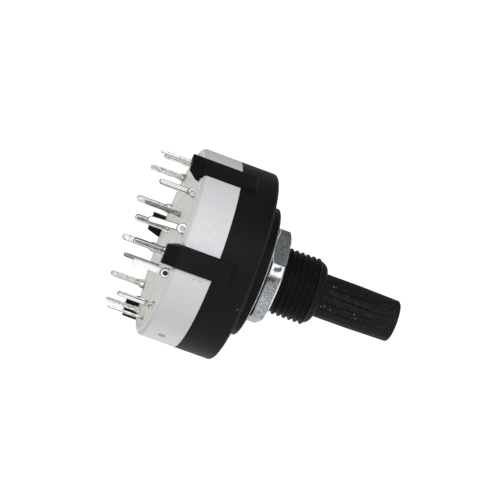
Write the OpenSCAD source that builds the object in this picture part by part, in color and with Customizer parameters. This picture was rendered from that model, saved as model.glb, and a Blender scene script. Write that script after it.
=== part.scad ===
// Rotary wafer switch for panel mounting: four poles of three positions.
// Each piece is drawn along a local Z, the shaft's axis, and in_frame() then lays that axis along +X.
// The origin lies on the axis at the flange's front face, where the panel seats.

/* [Body] */
// Diameter of the housing and the terminal base
body_d = 26.15; // [23.4:0.05:30]
// Depth of the housing from its front face to the joint with the base
housing_h = 5.25; // [4.8:0.05:6.5]
// Thickness of the housing's front wall
front_wall = 1.2; // [0.8:0.1:1.4]
// Rounding of the housing's front edge
housing_edge_r = 0.45; // [0.2:0.05:0.9]
// Depth of the terminal base from the joint to its rear face
base_h = 5.25; // [5:0.05:8]
// Side wall of the base's cavity
base_wall = 1.5; // [1.4:0.05:1.7]
// Thickness of the base's floor
base_floor = 1.95; // [1.2:0.05:2.1]
// Skin of the base's floor behind the rotor's pivot
pivot_skin = 0.5; // [0.3:0.05:0.8]
// Rounding of the base's rear edge
base_edge_r = 0.7; // [0.2:0.1:0.8]

/* [Flange and bushing] */
// Diameter of the flange that seats on the panel
flange_d = 17.8; // [17:0.1:20]
// Height of the flange above the body
flange_h = 1.9; // [1.8:0.1:2.6]
// Rounding of the flange's edge
flange_edge_r = 0.2; // [0.1:0.05:0.8]
// Wall left over the stop groove
flange_roof = 0.9; // [0.5:0.1:1]
// Outside diameter of the bushing's thread
bushing_d = 9.2; // [9:0.1:9.8]
// Length of the bushing beyond the panel seat
bushing_l = 8.9; // [6:0.1:12]
// Rounding of the bushing's end
bushing_edge_r = 1; // [0.3:0.1:1]
// Plain stretch at the bushing's end, beyond its thread
bushing_plain = 0.95; // [0.7:0.05:1.5]
// Depth of the thread's ribs
thread_depth = 0.34; // [0.25:0.01:0.36]
// Distance from one rib of the thread to the next
thread_pitch = 0.79; // [0.7:0.01:1]

/* [Shaft and rotor] */
// Shaft diameter over the splines
shaft_d = 6; // [5.7:0.05:6.1]
// Step in radius from the splines up to the journal inside the bushing
journal_step = 0.2; // [0.16:0.01:0.25]
// Shaft length beyond the panel seat
shaft_l = 19.8; // [16:0.1:40]
// Straight part of the shaft beyond the bushing
shaft_straight = 5; // [2:0.1:6]
// Amount by which the shaft's drafted tip is thinner than its straight part
shaft_draft = 0.25; // [0.2:0.01:0.4]
// Chamfer at the shaft's tip
shaft_chamfer = 0.2; // [0.1:0.05:0.5]
// Depth of each spline groove
spline_depth = 0.15; // [0.12:0.01:0.3]
// Width of each spline groove at the surface
spline_w = 0.16; // [0.12:0.01:0.24]
// Height of the rotor disc
rotor_h = 5.4; // [4.4:0.05:5.5]
// Diameter of the rear pivot
pivot_d = 3.9; // [3:0.1:4.5]

/* [Detent] */
// Wall of the housing outside the detent crests
detent_wall = 2.1; // [1.9:0.05:2.3]
// Ball diameter
ball_d = 3; // [2.4:0.1:3.2]
// Rotor wall in front of the ball's bore
bore_roof = 0.45; // [0.3:0.05:0.8]
// Depth of the grooves that the balls click into
detent_depth = 0.35; // [0.2:0.05:0.5]
// Radius of the groove's floor beyond the ball's own
groove_ease = 0.1; // [0.05:0.05:0.3]
// Outside diameter of the coil spring
spring_d = 2.4; // [2:0.1:2.6]
// Spring wire diameter
spring_wire = 0.4; // [0.25:0.05:0.45]
// Turns of the coil spring
spring_turns = 14; // [10:1:18]

/* [Contacts] */
// Distance of the outer terminals inside the body's side
throw_inset = 2.15; // [2:0.05:2.3]
// Diameter of the circle of inner terminals
common_ring_d = 8; // [7.6:0.1:9]
// Width of a terminal's strip
terminal_w = 0.9; // [0.7:0.05:1.1]
// Thickness of a terminal's strip
terminal_t = 0.35; // [0.25:0.05:0.4]
// Terminal length behind the base
terminal_l = 4.95; // [3:0.05:8]
// Outside diameter of a terminal's eyelet
eyelet_d = 1.4; // [1.25:0.05:1.6]
// Hole of the eyelet
eyelet_hole_d = 0.55; // [0.4:0.05:0.8]
// Distance of the eyelet's centre behind the base
eyelet_out = 0.35; // [0.3:0.05:1.2]
// Thickness of the contact pads on the base's floor
pad_t = 0.4; // [0.3:0.05:0.6]
// Width of an outer contact pad
pad_w = 2.4; // [1.8:0.1:3]
// Radial length of an outer contact pad
pad_l = 3.2; // [2.8:0.1:3.4]
// Radial width of an inner contact arc
arc_w = 2.2; // [2:0.1:2.4]
// Half the angle that an inner contact arc spans
arc_half_deg = 38; // [34:1:41]
// Wiper strip width
wiper_w = 1.6; // [1.4:0.1:2]
// Wiper strip thickness
wiper_t = 0.25; // [0.15:0.05:0.3]
// Radius of a wiper's contact bump
bump_r = 0.35; // [0.3:0.05:0.4]
// Diameter of the peg that holds a wiper
peg_d = 0.9; // [0.6:0.1:1.1]

/* [Nut and stop ring] */
// Nut size across its flats
nut_af = 12.3; // [11.8:0.1:13]
// Nut thickness
nut_h = 2.1; // [1.5:0.1:2.5]
// Turn of the nut on its thread
nut_turn = -1.3; // [-30:0.1:30]
// Depth by which the nut's corners are cut back
corner_trim = 0.38; // [0.1:0.02:0.5]
// Height of the chamfers at the nut's corners
nut_chamfer = 0.22; // [0.1:0.02:0.5]
// Stop ring diameter
ring_d = 13.2; // [13.2:0.1:14]
// Stop ring thickness
ring_t = 0.4; // [0.3:0.05:0.8]
// Width of the stop ring's tab
tab_w = 1.3; // [1:0.1:1.5]
// Thickness of the stop ring's tab
tab_t = 0.5; // [0.3:0.05:0.6]
// Length of the stop ring's tab
tab_l = 2.3; // [1.8:0.1:2.5]

/* [Snap arms] */
// Arm width
arm_w = 2.9; // [2.6:0.1:3.4]
// Arm thickness
arm_t = 1.2; // [1.1:0.05:1.25]
// Height of the arm above the body's side
arm_proud = 0.45; // [0.4:0.05:0.6]
// Stretch of the arm on the housing, in front of the joint
arm_root = 2.4; // [1.5:0.1:3]
// Length of the hook behind the base
hook_l = 1.7; // [1.4:0.1:2.5]
// Reach of the hook over the base's rear face
hook_reach = 0.65; // [0.4:0.05:0.7]
// Flat stretch of the hook's tip
hook_land = 0.5; // [0.3:0.1:0.8]
// Narrowing of one side of the hook towards its end
hook_taper = 0.4; // [0.2:0.1:1]
// Rounding of the base's corners beside the arms
channel_corner_r = 0.65; // [0.2:0.05:0.8]

/* [Clearances] */
// Radial clearance of the shaft and its rear pivot
shaft_gap = 0.03; // [0.02:0.01:0.08]
// Radial clearance of a ball in its bore and under the detent crests
ball_gap = 0.03; // [0.02:0.01:0.06]
// Clearance between the rotor and the detent crests
rotor_gap = 0.7; // [0.5:0.1:0.9]
// Axial play of the rotor
play = 0.1; // [0.05:0.05:0.2]
// Gap between a wiper's bump and its pad
wiper_gap = 0.03; // [0.02:0.01:0.08]
// Clearance of a terminal in its slot
slot_gap = 0.05; // [0.02:0.01:0.1]
// Clearance of the arms in their channels and of the tab in its hole
snap_gap = 0.1; // [0.05:0.05:0.2]
// Radial clearance of the nut on the thread
thread_gap = 0.02; // [0.01:0.01:0.1]
// Angle left between the stop lug and its stops
stop_gap_deg = 0.8; // [0.4:0.1:2]

/* [Hidden] */
$fn = 96;
eps = 0.02;
margin = 1;

// Stations round the axis
poles = 4;
throws = 3;
stations = poles * throws;
station_step = 360 / stations;
pole_step = 360 / poles;
half_travel = station_step * (throws - 1) / 2;
spline_teeth = 18;
spline_run = 0.2;
spline_phase = 1 / 8;
crest_w = 0.25;

// Levels along the axis
front_z = -flange_h;
joint_z = front_z - housing_h;
rear_z = joint_z - base_h;
ceiling_z = front_z - front_wall;
floor_z = rear_z + base_floor;
rotor_top = ceiling_z - play;
rotor_bottom = rotor_top - rotor_h;
pivot_z = rear_z + pivot_skin;
pad_top = floor_z + pad_t;
terminal_tip = rear_z - terminal_l;
ball_z = rotor_top - bore_roof - ball_d / 2 - ball_gap;
nut_z = ring_t;
neck_ease = 0.1;
neck_top = nut_z + nut_h + neck_ease;
thread_top = bushing_l - bushing_plain;
thread_ribs = floor((thread_top - neck_top) / thread_pitch);

// Radii
body_r = body_d / 2;
cavity_r = body_r - base_wall;
shaft_r = shaft_d / 2;
journal_r = shaft_r + journal_step;
bore_r = journal_r + shaft_gap;
thread_r = bushing_d / 2;
neck_r = thread_r - thread_depth;
detent_r = body_r - detent_wall;
rotor_r = detent_r - rotor_gap;
groove_r = ball_d / 2 + groove_ease;
ball_rest_r = detent_r - ball_gap - ball_d / 2;
arm_out = body_r + arm_proud;
arm_in = arm_out - arm_t;
throw_r = body_r - throw_inset;
common_r = common_ring_d / 2;

// Stop groove inside the flange, with the tab on its middle line
groove_w = 2.4;
lug_gap = 0.3;
lug_w = groove_w - 2 * lug_gap;
tab_inset = 0.15;
stop_r = ring_d / 2 - tab_t / 2 - tab_inset;
stop_deg = station_step * 1.5;
tab_half_deg = asin(tab_w / 2 / (stop_r - lug_w / 2));
lug_half_deg = stop_deg - half_travel - tab_half_deg - stop_gap_deg;

// Contact places
bump_inset = 0.5;
bump_in_r = common_r + bump_inset;
bump_out_r = throw_r - (pad_l + bump_inset) / 2;
peg_r = (bump_in_r + bump_out_r) / 2;
peg_gap = 0.05;
peg_head_h = 0.3;
peg_head_d = peg_d + 2 * peg_head_h;
flat_lip = 0.2;
wiper_flat = peg_head_d + 2 * flat_lip;

// Each arm's azimuth, and the side on which its hook tapers
arm_places = [for (half = [0, 180], k = [0, 1]) [half + station_step * (0.5 + 2 * k), 1 - 2 * k]];

THROW_NODES = [for (i = [1 : stations]) str("throw_terminal_", i < 10 ? "0" : "", i)];
COMMON_NODES = [for (i = [1 : poles]) str("common_terminal_", i)];
WIPER_NODES = [for (i = [1 : poles]) str("wiper_", i)];
BALL_NODES = ["detent_ball_a", "detent_ball_b"];

module in_frame() {
    rotate([0, 90, 0]) children();
}

// A tube of the given radii between two levels
module tube(outer, inner, bottom, top) {
    translate([0, 0, bottom]) difference() {
        cylinder(r = outer, h = top - bottom);
        translate([0, 0, -eps]) cylinder(r = inner, h = top - bottom + 2 * eps);
    }
}

// A disc with its top edge rounded
module rounded_disc(r, bottom, top, edge) {
    rotate_extrude() {
        translate([0, bottom]) square([r, top - edge - bottom]);
        translate([0, bottom]) square([r - edge, top - bottom]);
        translate([r - edge, top - edge]) intersection() {
            circle(r = edge);
            square(edge);
        }
    }
}

// A block that lies across a radius: len along the radius, w across it
module radial_block(r, len, w, bottom, top) {
    translate([r - len / 2, -w / 2, bottom]) cube([len, w, top - bottom]);
}

// A flat outline, drawn as (across, along the axis), cut right through a wall in the radial direction
module radial_cut(inner, outer) {
    rotate([90, 0, 90]) translate([0, 0, inner]) linear_extrude(outer - inner) children();
}

// Outline of one arm seen from outside, with its hook narrowed on one side
module arm_outline(side) {
    top = joint_z + arm_root;
    hook_z = rear_z - hook_l;
    polygon([
        [-side * arm_w / 2, hook_z],
        [-side * arm_w / 2, top],
        [side * arm_w / 2, top],
        [side * arm_w / 2, rear_z],
        [side * (arm_w / 2 - hook_taper), hook_z]
    ]);
}

// Section of the arms in the radial plane
module arm_section() {
    hook_z = rear_z - hook_l;
    catch_z = rear_z - snap_gap / 2;
    polygon([
        [arm_in, joint_z + arm_root - arm_proud],
        [arm_out - arm_proud, joint_z + arm_root],
        [arm_out, joint_z + arm_root - arm_proud],
        [arm_out, hook_z],
        [arm_in + hook_land / 2, hook_z],
        [arm_in - hook_reach, catch_z - hook_land],
        [arm_in - hook_reach, catch_z],
        [arm_in, catch_z]
    ]);
}

module snap_arms() {
    intersection() {
        rotate_extrude() arm_section();
        for (place = arm_places)
            rotate([0, 0, place[0]])
                radial_cut(arm_in - hook_reach - margin, arm_out + margin) arm_outline(place[1]);
    }
}

// Ring-shaped groove in which the stop lug travels, closed at one place by the fixed stop
module stop_groove() {
    difference() {
        tube(stop_r + groove_w / 2, stop_r - groove_w / 2, ceiling_z - eps, -flange_roof);
        rotate([0, 0, -stop_deg])
            radial_block(stop_r, groove_w + margin, tab_w, ceiling_z - 2 * eps, 0);
    }
}

// Holes for the stop ring's tab, all but the one over the fixed stop
module stop_holes() {
    for (k = [1 : stations - 1])
        rotate([0, 0, k * station_step - stop_deg])
            radial_block(stop_r, tab_t + 2 * snap_gap, tab_w + 2 * snap_gap, -flange_roof - eps, eps);
}

// Section of one rib of the thread, with flanks at 60 degrees to each other
module thread_rib() {
    half_root = crest_w / 2 + (thread_depth + eps) * tan(30);
    polygon([
        [neck_r - eps, -half_root],
        [thread_r, -crest_w / 2],
        [thread_r, crest_w / 2],
        [neck_r - eps, half_root]
    ]);
}

// Bushing with a plain neck for the ring and nut, and its thread drawn as level ribs
module bushing() {
    rounded_disc(neck_r, front_z, bushing_l, bushing_edge_r);
    rotate_extrude()
        for (k = [0 : thread_ribs - 1])
            translate([0, thread_top - (k + 0.5) * thread_pitch]) thread_rib();
}

module front_housing() {
    color("#1c1c1e") in_frame() difference() {
        union() {
            rounded_disc(body_r, joint_z, front_z, housing_edge_r);
            rounded_disc(flange_d / 2, front_z - eps, 0, flange_edge_r);
            bushing();
            snap_arms();
        }
        translate([0, 0, joint_z - eps]) cylinder(r = detent_r, h = ceiling_z - joint_z + eps);
        for (k = [0 : stations - 1])
            rotate([0, 0, k * station_step])
                translate([detent_r + detent_depth - groove_r, 0, joint_z - eps])
                    cylinder(r = groove_r, h = ceiling_z - joint_z + eps);
        stop_groove();
        stop_holes();
        translate([0, 0, ceiling_z - eps]) cylinder(r = bore_r, h = bushing_l - ceiling_z + 2 * eps);
    }
}

// Opening for one arm in the base's side, flared by rounded corners at the rear face
module channel_outline() {
    half = arm_w / 2 + snap_gap;
    corner = channel_corner_r;
    translate([-half, rear_z - eps]) square([2 * half, base_h + 2 * eps]);
    difference() {
        translate([-half - corner, rear_z - eps]) square([2 * (half + corner), corner + eps]);
        for (side = [-1, 1])
            translate([side * (half + corner), rear_z + corner]) circle(r = corner);
    }
}

module terminal_slot(r, w) {
    radial_block(r, terminal_t + 2 * slot_gap, w + 2 * slot_gap, rear_z - eps, floor_z + eps);
}

module terminal_base() {
    color("#d8d7da") in_frame() difference() {
        mirror([0, 0, 1]) rounded_disc(body_r, -joint_z, -rear_z, base_edge_r);
        translate([0, 0, floor_z]) cylinder(r = cavity_r, h = joint_z - floor_z + eps);
        translate([0, 0, pivot_z]) cylinder(r = pivot_d / 2 + shaft_gap, h = floor_z - pivot_z + eps);
        for (place = arm_places)
            rotate([0, 0, place[0]]) radial_cut(arm_in - snap_gap, arm_out) channel_outline();
        for (k = [0 : stations - 1])
            rotate([0, 0, k * station_step]) terminal_slot(throw_r, eyelet_d);
        for (k = [0 : poles - 1])
            rotate([0, 0, k * pole_step]) terminal_slot(common_r, eyelet_d);
    }
}

// Splined shaft with a plain journal inside the bushing and a drafted, chamfered tip
module splined_shaft() {
    tip_r = shaft_r - shaft_draft / 2;
    difference() {
        rotate_extrude() polygon([
            [0, rotor_top],
            [journal_r, rotor_top],
            [journal_r, bushing_l],
            [shaft_r, bushing_l],
            [shaft_r, bushing_l + shaft_straight],
            [tip_r, shaft_l - shaft_chamfer],
            [tip_r - shaft_chamfer, shaft_l],
            [0, shaft_l]
        ]);
        for (k = [0 : spline_teeth - 1])
            rotate([0, 0, (k + spline_phase) * 360 / spline_teeth])
                translate([shaft_r, 0, bushing_l + spline_run]) linear_extrude(shaft_l)
                    polygon([[-spline_depth, 0], [eps, -spline_w / 2], [eps, spline_w / 2]]);
    }
}

// Lug that meets the fixed stop at one end of the travel and the stop ring's tab at the other
module stop_lug() {
    intersection() {
        tube(stop_r + lug_w / 2, stop_r - lug_w / 2, rotor_top - eps, -flange_roof - lug_gap);
        linear_extrude(2 * shaft_l, center = true)
            polygon([
                [0, 0],
                2 * stop_r * [cos(lug_half_deg), -sin(lug_half_deg)],
                2 * stop_r * [cos(lug_half_deg), sin(lug_half_deg)]
            ]);
    }
}

module wiper_peg() {
    translate([peg_r, 0, rotor_bottom - wiper_t]) cylinder(d = peg_d, h = wiper_t + eps);
    translate([peg_r, 0, rotor_bottom - wiper_t - peg_head_h]) cylinder(d = peg_head_d, h = peg_head_h);
}

module shaft_rotor() {
    color("#222225") in_frame() difference() {
        union() {
            splined_shaft();
            translate([0, 0, rotor_bottom]) cylinder(r = rotor_r, h = rotor_h);
            stop_lug();
            for (k = [0 : poles - 1])
                rotate([0, 0, k * pole_step]) wiper_peg();
            translate([0, 0, pivot_z + play]) cylinder(d = pivot_d, h = rotor_bottom - pivot_z - play + eps);
        }
        translate([0, 0, ball_z]) rotate([0, 90, 0])
            cylinder(d = ball_d + 2 * ball_gap, h = 2 * rotor_r + margin, center = true);
    }
}

module detent_ball(side) {
    color("silver") in_frame() translate([side * ball_rest_r, 0, ball_z]) sphere(d = ball_d);
}

// Points of one ring of the coil, at a share f of the way along it
function coil_ring(f, half_len, coil_r, sides) =
    let (turn = 360 * spring_turns * f, middle = half_len * (2 * f - 1))
    [for (s = [0 : sides - 1])
        let (a = 360 * s / sides, out = coil_r + spring_wire / 2 * cos(a))
        [middle + spring_wire / 2 * sin(a), out * cos(turn), out * sin(turn)]];

module detent_spring() {
    sides = 6;
    rings_per_turn = 14;
    rings = spring_turns * rings_per_turn;
    coil_r = spring_d / 2 - spring_wire / 2;
    half_len = ball_rest_r - ball_d / 2 - spring_wire / 2 - ball_gap;
    points = [for (k = [0 : rings]) each coil_ring(k / rings, half_len, coil_r, sides)];
    walls = [for (k = [0 : rings - 1], s = [0 : sides - 1])
        let (n = (s + 1) % sides)
        [k * sides + s, k * sides + n, (k + 1) * sides + n, (k + 1) * sides + s]];
    first = [for (s = [sides - 1 : -1 : 0]) s];
    last = [for (s = [0 : sides - 1]) rings * sides + s];
    color("#b8b8b4") in_frame() translate([0, 0, ball_z])
        polyhedron(points = points, faces = concat(walls, [first, last]), convexity = 10);
}

// Sprung bridge, drawn as its section along the radius, with a bump at each end
module wiper(index) {
    bump_z = pad_top + wiper_gap + bump_r;
    flat_in = peg_r - wiper_flat / 2;
    flat_out = peg_r + wiper_flat / 2;
    color("#c9a24a") in_frame() rotate([0, 0, index * pole_step]) difference() {
        rotate([90, 0, 0]) {
            linear_extrude(wiper_w, center = true) polygon([
                [bump_in_r, bump_z - wiper_t / 2],
                [bump_in_r, bump_z + wiper_t / 2],
                [flat_in, rotor_bottom],
                [flat_out, rotor_bottom],
                [bump_out_r, bump_z + wiper_t / 2],
                [bump_out_r, bump_z - wiper_t / 2],
                [flat_out, rotor_bottom - wiper_t],
                [flat_in, rotor_bottom - wiper_t]
            ]);
            for (r = [bump_in_r, bump_out_r])
                translate([r, bump_z, 0]) cylinder(r = bump_r, h = wiper_w, center = true);
        }
        translate([peg_r, 0, rotor_bottom - margin])
            cylinder(d = peg_d + 2 * peg_gap, h = 2 * margin);
    }
}

// Strip that leads from its pad through the base's floor, with a round tip and an eyelet near the base
module terminal_leg(r) {
    eye_z = rear_z - eyelet_out;
    radial_cut(r - terminal_t / 2, r + terminal_t / 2) difference() {
        union() {
            translate([-terminal_w / 2, terminal_tip + terminal_w / 2])
                square([terminal_w, pad_top - terminal_tip - terminal_w / 2]);
            translate([0, terminal_tip + terminal_w / 2]) circle(d = terminal_w);
            translate([0, eye_z]) circle(d = eyelet_d);
        }
        translate([0, eye_z]) circle(d = eyelet_hole_d);
    }
}

module throw_terminal(index) {
    color("#d6d4cc") in_frame() rotate([0, 0, index * station_step]) {
        terminal_leg(throw_r);
        radial_block(throw_r + terminal_t / 2 - pad_l / 2, pad_l, pad_w, floor_z, pad_top);
    }
}

module common_terminal(index) {
    inner = bump_in_r - arc_w / 2;
    color("#d6d4cc") in_frame() rotate([0, 0, index * pole_step]) {
        terminal_leg(common_r);
        rotate([0, 0, -arc_half_deg]) rotate_extrude(angle = 2 * arc_half_deg)
            translate([inner, floor_z]) square([arc_w, pad_t]);
    }
}

module stop_ring() {
    color("#b9bcc2") in_frame() {
        tube(ring_d / 2, thread_r + thread_gap, 0, ring_t);
        rotate([0, 0, stop_deg]) radial_block(stop_r, tab_t, tab_w, -tab_l, ring_t / 2);
    }
}

module hex_nut() {
    corner_r = nut_af / 2 / cos(30);
    trim_r = corner_r - corner_trim;
    face_r = trim_r - nut_chamfer / tan(30);
    color("#aeb2b8") in_frame() translate([0, 0, nut_z]) rotate([0, 0, nut_turn]) difference() {
        intersection() {
            cylinder(r = corner_r, h = nut_h, $fn = 6);
            rotate_extrude() polygon([
                [0, 0],
                [face_r, 0],
                [trim_r, nut_chamfer],
                [trim_r, nut_h - nut_chamfer],
                [face_r, nut_h],
                [0, nut_h]
            ]);
        }
        translate([0, 0, -eps]) cylinder(r = neck_r + thread_gap, h = nut_h + 2 * eps);
    }
}

front_housing();
terminal_base();
shaft_rotor();
detent_spring();
stop_ring();
hex_nut();
for (i = [0 : 1])
    detent_ball(1 - 2 * i);
for (i = [0 : poles - 1])
    wiper(i);
for (i = [0 : poles - 1])
    common_terminal(i);
for (i = [0 : stations - 1])
    throw_terminal(i);
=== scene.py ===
import math

import bmesh
import bpy
from bpy.props import FloatProperty, FloatVectorProperty, PointerProperty
from mathutils import Matrix, Vector


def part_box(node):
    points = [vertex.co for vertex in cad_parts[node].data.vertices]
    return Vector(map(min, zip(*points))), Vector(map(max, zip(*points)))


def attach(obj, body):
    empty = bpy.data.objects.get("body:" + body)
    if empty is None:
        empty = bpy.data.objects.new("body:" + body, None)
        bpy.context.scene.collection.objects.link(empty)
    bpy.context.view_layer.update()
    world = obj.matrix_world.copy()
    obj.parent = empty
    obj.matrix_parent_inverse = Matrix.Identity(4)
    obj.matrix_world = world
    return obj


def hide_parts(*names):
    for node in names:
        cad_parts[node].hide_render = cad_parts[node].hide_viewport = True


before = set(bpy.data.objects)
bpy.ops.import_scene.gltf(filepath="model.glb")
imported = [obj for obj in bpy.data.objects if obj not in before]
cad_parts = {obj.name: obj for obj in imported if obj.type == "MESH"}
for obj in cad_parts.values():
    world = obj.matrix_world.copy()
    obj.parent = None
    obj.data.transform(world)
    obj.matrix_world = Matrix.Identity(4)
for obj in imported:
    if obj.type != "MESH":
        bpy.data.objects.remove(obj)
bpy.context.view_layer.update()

bl_info = {
    "name": "Rotary wafer switch",
    "version": (1, 0, 0),
    "blender": (4, 5, 0),
    "location": "View3D > Sidebar > Switch",
    "description": "Dresses the switch's solids with moulded, plated and threaded detail",
    "category": "Object",
}

MM = 0.001


def nodes_like(start):
    """Names of the CAD nodes that start so, in order."""
    return sorted(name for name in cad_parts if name.startswith(start))


# Nodes by kind
THROW_TERMINALS = nodes_like("throw_terminal")
COMMON_TERMINALS = nodes_like("common_terminal")
WIPERS = nodes_like("wiper")
BALLS = nodes_like("detent_ball")
LEANING_TERMINAL = "throw_terminal_09"
# Terminal whose eyelet is closed by a dark film of painted shade
SHADED_EYELET_TERMINAL = "throw_terminal_10"
THROW_STEP = math.tau / len(THROW_TERMINALS)
COMMON_STEP = math.tau / len(COMMON_TERMINALS)

# Places along the shaft, in metres, and those that the finishes follow, in millimetres
BUSHING_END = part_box("front_housing")[1].x
REAR_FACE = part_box("terminal_base")[0].x
TERMINAL_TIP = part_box("throw_terminal_01")[0].x
REAR_MM = REAR_FACE / MM
TIP_MM = TERMINAL_TIP / MM
NUT_REAR_MM, NUT_FRONT_MM = (corner.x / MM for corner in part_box("hex_nut"))

# Joining of split corners and flat faces in a copied mesh
JOIN_GAP = 0.0005 * MM
FLAT_ANGLE = math.radians(0.5)

# How far the thread's sides are drawn in, so that its crests are narrower than its roots
CREST_NARROWING = 0.16

# Sizes that the finishes follow, in millimetres
SHAFT_RADIUS = 3.0
FLANGE_WIDTH = 18.0
FLANGE_RIM = (8.5, 9.2)
FLANGE_RIM_START = -0.16
BODY_RIM = 12.4
BODY_RIM_START = -3.0
BASE_WIDTH = 26.15
LIP_SPAN = 20.0
NUT_SPAN = 14.0
NUT_FACET = 6.64
NUT_CHAMFER_AT = (0.0, -0.3, 0.175)
TERMINAL_HALF_W = 0.45
EYELET_OUT = 0.35
EYELET_REACH = 0.74
# How far the olive patches reach from the eyelets
EYELET_OLIVE_REACH = 1.5
GATE_RADII = (0.62, 0.45, 0.28)

# Places of single marks, in millimetres
GATE_MARK = (-9.76, -9.345, -9.15)
NUT_DARK_SPOT = ((1.2, -5.75, 3.5), (1.45, -5.75, 3.5), (1.7, -5.65, 3.65))
NUT_SHADE = ((0.8, -6.1, 2.12), (1.1, -6.1, 2.12), (1.45, -6.1, 2.12))
BASE_SPECKS = ((-9.37, -13.01, 1.28), (-8.5, -13.01, 1.28), (-9.0, -12.6, 3.5))
BODY_FLECK = ((-2.6, -13.06, -0.55),)
SHAFT_DUST = ((10.1, -1.77, 2.42), (13.85, -2.99, 0.25), (14.2, -2.99, -0.24),
              (9.3, -2.98, -0.32), (9.72, -2.99, -0.12), (10.65, -2.98, -0.3))

# Looks of the finishes
BLACK_GLOSS = 0.085
# Share of the painted highlight on the body's front edge
BODY_RIM_HIGHLIGHT = 0.05
# Weaker outline on the terminal with painted shade in its eyelet
SHADED_EYELET_OUTLINE = 0.2
UPRIGHT = (0.0, 0.0)
EYELET_HOLE = ((0.3, 1.0), (0.36, 0.0))
HOOK_BLACK = (0.001, 0.001, 0.001)
FLECK_BROWN = (0.06, 0.05, 0.03)
# Painted light on the base's rear face
REAR_FACE_LIGHT = (0.94, 0.94, 0.92)
# Painted shade of a ring on the base's rear face
LIP_SHADE_GREY = (0.2, 0.19, 0.18)
SPECK_GREY = (0.3, 0.3, 0.38)
GATE_GREY = (0.1, 0.1, 0.1)
# Colour of the painted shade in the gap between nut and flange
GAP_SHADE_BLACK = (0.01, 0.01, 0.01)
# Colour of the painted shade in that eyelet
EYELET_SHADE_BLACK = (0.006, 0.006, 0.006)

# Stage: the picture's width in pixels, the studio's light by height, and the lamps' place, size and watts
FRAME_PIXELS = 500
SKY = ((0.05, 1.25), (0.35, 0.6), (0.9, 0.32))
LAMPS = (("key", (-0.1, -0.44, 0.4), 0.4, 1.75),
         ("rear_fill", (-0.55, -0.2, 0.1), 0.3, 0.22),
         ("front_fill", (0.5, -0.3, 0.15), 0.25, 0.12))


def length(name, description, default):
    """A length property, written in millimetres."""
    return FloatProperty(name=name, description=description, default=default * MM, min=0,
                         precision=5, unit="LENGTH", subtype="DISTANCE")


def turn(name, description, degrees):
    """An angle property, written in degrees."""
    return FloatProperty(name=name, description=description, default=math.radians(degrees),
                         subtype="ANGLE")


def tint(name, description, default):
    """A colour property."""
    return FloatVectorProperty(name=name, description=description, default=default, min=0, max=1,
                               size=3, subtype="COLOR")


class SwitchSizes(bpy.types.PropertyGroup):
    """Sizes of the detail that is added to the solids."""

    thread_pitch: length("Thread pitch", "Distance between two turns of the bushing's thread", 0.79)
    thread_crest: length("Thread crest", "Radius of the thread's rounded crests", 4.6)
    thread_root: length("Thread root", "Radius of the thread's roots", 4.26)
    thread_phase: length("Thread phase", "Place of one crest along the shaft", 3.51)
    thread_azimuth: turn("Thread azimuth", "Direction in which that crest is measured", 158.7)
    thread_plain: length("Plain end", "Stretch without thread at the bushing's end", 0.95)
    thread_fade: length("Thread fade", "Length in which the thread runs out at its ends", 0.2)
    bushing_bore: length("Bushing bore", "Radius of the hole that the shaft turns in", 3.23)
    bushing_round: length("Bushing rounding", "Rounding of the bushing's end", 1.0)
    housing_edge: length("Housing edge", "Softening of the housing's edges", 0.1)
    base_edge: length("Base edge", "Softening of the base's edges", 0.1)
    shaft_edge: length("Shaft edge", "Softening of the shaft's edges", 0.04)
    nut_edge: length("Nut edge", "Softening of the nut's edges", 0.14)
    nut_face: length("Nut face", "Radius of the nut's rear face inside its chamfer", 6.0)
    nut_slope: FloatProperty(name="Nut slope", default=0.6,
                             description="Rise of the nut's rear chamfer for each unit outward")
    ring_edge: length("Ring edge", "Softening of the stop ring's edges", 0.08)
    terminal_edge: length("Terminal edge", "Softening of the terminals' edges", 0.08)
    # The film in one eyelet is a dark sheet of painted shade
    film_radius: length("Film radius", "Radius of the flux film in one eyelet", 0.27)
    film_depth: length("Film depth", "Thickness of the flux film in one eyelet", 0.2)
    lean_root: length("Lean at root", "How far the leaning terminal is pushed aside at the base", 0.45)
    lean_tip: length("Lean at tip", "How far the leaning terminal is pushed aside at its tip", 0.17)
    wiper_edge: length("Wiper edge", "Softening of the wipers' edges", 0.03)


class SwitchColours(bpy.types.PropertyGroup):
    """Colours of the mouldings and plated pieces."""

    housing: tint("Housing", "Black moulding of the housing", (0.0056, 0.0058, 0.0068))
    shaft: tint("Shaft", "Black moulding of the shaft", (0.006, 0.006, 0.0068))
    base: tint("Base", "Pale moulding of the terminal base", (0.665, 0.655, 0.675))
    zinc: tint("Zinc", "Zinc plate of the nut and ring", (0.5, 0.53, 0.55))
    # Colour of the painted highlights on the rims of nut and ring and on the near corner facet
    zinc_highlight: tint("Bright zinc", "Rubbed rims of the nut and ring", (0.8, 0.81, 0.82))
    silver: tint("Silver", "Silver plate of the outer terminals", (0.95, 0.945, 0.93))
    dull_silver: tint("Dull silver", "Worn middle of the inner terminals", (0.13, 0.13, 0.125))
    # Colour of the painted shade outlining the terminals' faces
    edge_shade: tint("Cut edge", "Bare cut edges of the terminals", (0.06, 0.06, 0.055))
    # Colour of the olive patches round the eyelets
    eyelet_olive: tint("Tarnish", "Tarnish round the eyelets", (0.52, 0.47, 0.26))
    brass: tint("Brass", "Contact brass of the wipers", (0.72, 0.52, 0.22))
    steel: tint("Steel", "Steel of the balls and spring", (0.56, 0.56, 0.57))
    dust: tint("Dust", "Dust specks on the black mouldings", (0.28, 0.28, 0.28))
    # Colour of the painted highlight along the flange's front edge, partly wear
    rubbed_and_highlight: tint("Rubbed", "Rubbed edge of the black flange", (0.55, 0.56, 0.57))


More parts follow.
